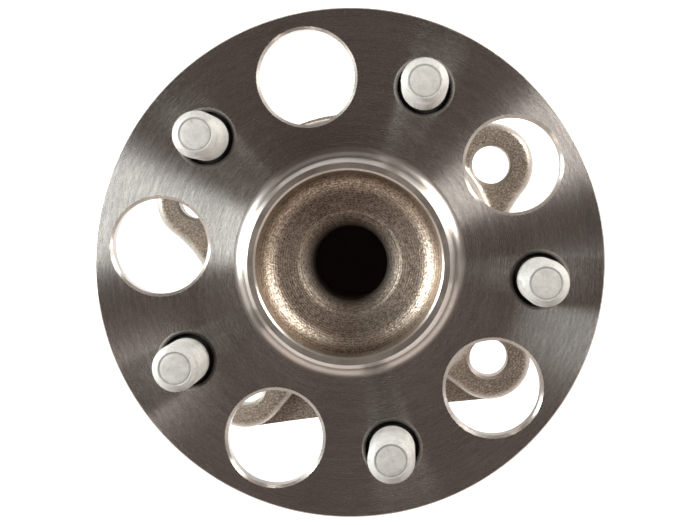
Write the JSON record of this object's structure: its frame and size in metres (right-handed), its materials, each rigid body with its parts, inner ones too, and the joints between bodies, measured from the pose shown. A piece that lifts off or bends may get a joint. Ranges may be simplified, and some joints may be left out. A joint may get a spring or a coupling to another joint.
{
  "type": "wheel hub bearing",
  "caption": "Rear wheel hub and bearing unit: turned wheel flange with pressed-in studs and a centring pilot, on two ball rows inside a forged outer ring with four bolt ears.",
  "frame": {"origin": "centre of the wheel face, on the axis of rotation", "axes": "+Z along the axis of rotation, out of the car past the studs; +Y on the mirror line of the four ears, midway between the two that stand further apart"},
  "size_m": [0.134, 0.134, 0.1084],
  "materials": {
    "hub_steel": "forged steel, the wheel flange and pilots turned bright, the recess left as forged and blasted",
    "ring_steel": "forged steel, blasted, with machined front band, mounting face and pilot",
    "stud_zinc": "dull white zinc plate over rolled thread",
    "bearing_steel": "ground and polished bearing steel",
    "nut_steel": "phosphated steel",
    "cage_polyamide": "natural glass-filled polyamide",
    "sheet_steel": "pressed stainless sheet",
    "seal_rubber": "moulded nitrile rubber",
    "cap_steel": "drawn steel sheet, zinc plated"
  },
  "bodies": {
    "outer_ring_unit": {"outer_ring": "ring_steel", "seal_case": "sheet_steel", "seal_lips": "seal_rubber", "rear_cap": "cap_steel"},
    "hub_unit": {"hub": "hub_steel", "inner_ring": "bearing_steel", "lock_nut": "nut_steel", "seal_slinger": "sheet_steel", "wheel_stud_1": "stud_zinc", "wheel_stud_2": "stud_zinc", "wheel_stud_3": "stud_zinc", "wheel_stud_4": "stud_zinc", "wheel_stud_5": "stud_zinc"},
    "outboard_row": {"cage_outboard": "cage_polyamide", "ball_outboard_01": "bearing_steel", "ball_outboard_02": "bearing_steel", "ball_outboard_03": "bearing_steel", "ball_outboard_04": "bearing_steel", "ball_outboard_05": "bearing_steel", "ball_outboard_06": "bearing_steel", "ball_outboard_07": "bearing_steel", "ball_outboard_08": "bearing_steel", "ball_outboard_09": "bearing_steel", "ball_outboard_10": "bearing_steel", "ball_outboard_11": "bearing_steel", "ball_outboard_12": "bearing_steel"},
    "inboard_row": {"cage_inboard": "cage_polyamide", "ball_inboard_01": "bearing_steel", "ball_inboard_02": "bearing_steel", "ball_inboard_03": "bearing_steel", "ball_inboard_04": "bearing_steel", "ball_inboard_05": "bearing_steel", "ball_inboard_06": "bearing_steel", "ball_inboard_07": "bearing_steel", "ball_inboard_08": "bearing_steel", "ball_inboard_09": "bearing_steel", "ball_inboard_10": "bearing_steel", "ball_inboard_11": "bearing_steel", "ball_inboard_12": "bearing_steel"}
  },
  "joints": [
    {"name": "hub_spin", "type": "hinge", "parent": "outer_ring_unit", "child": "hub_unit", "pos_m": [0, 0, 0], "axis": [0, 0, 1], "continuous": true},
    {"name": "outboard_cage_spin", "type": "hinge", "parent": "outer_ring_unit", "child": "outboard_row", "pos_m": [0, 0, -0.031], "axis": [0, 0, 1], "continuous": true},
    {"name": "inboard_cage_spin", "type": "hinge", "parent": "outer_ring_unit", "child": "inboard_row", "pos_m": [0, 0, -0.055], "axis": [0, 0, 1], "continuous": true}
  ],
  "couplings": [
    {"joint": "outboard_cage_spin", "follows": "hub_spin", "ratio": 0.413},
    {"joint": "inboard_cage_spin", "follows": "hub_spin", "ratio": 0.413}
  ]
}
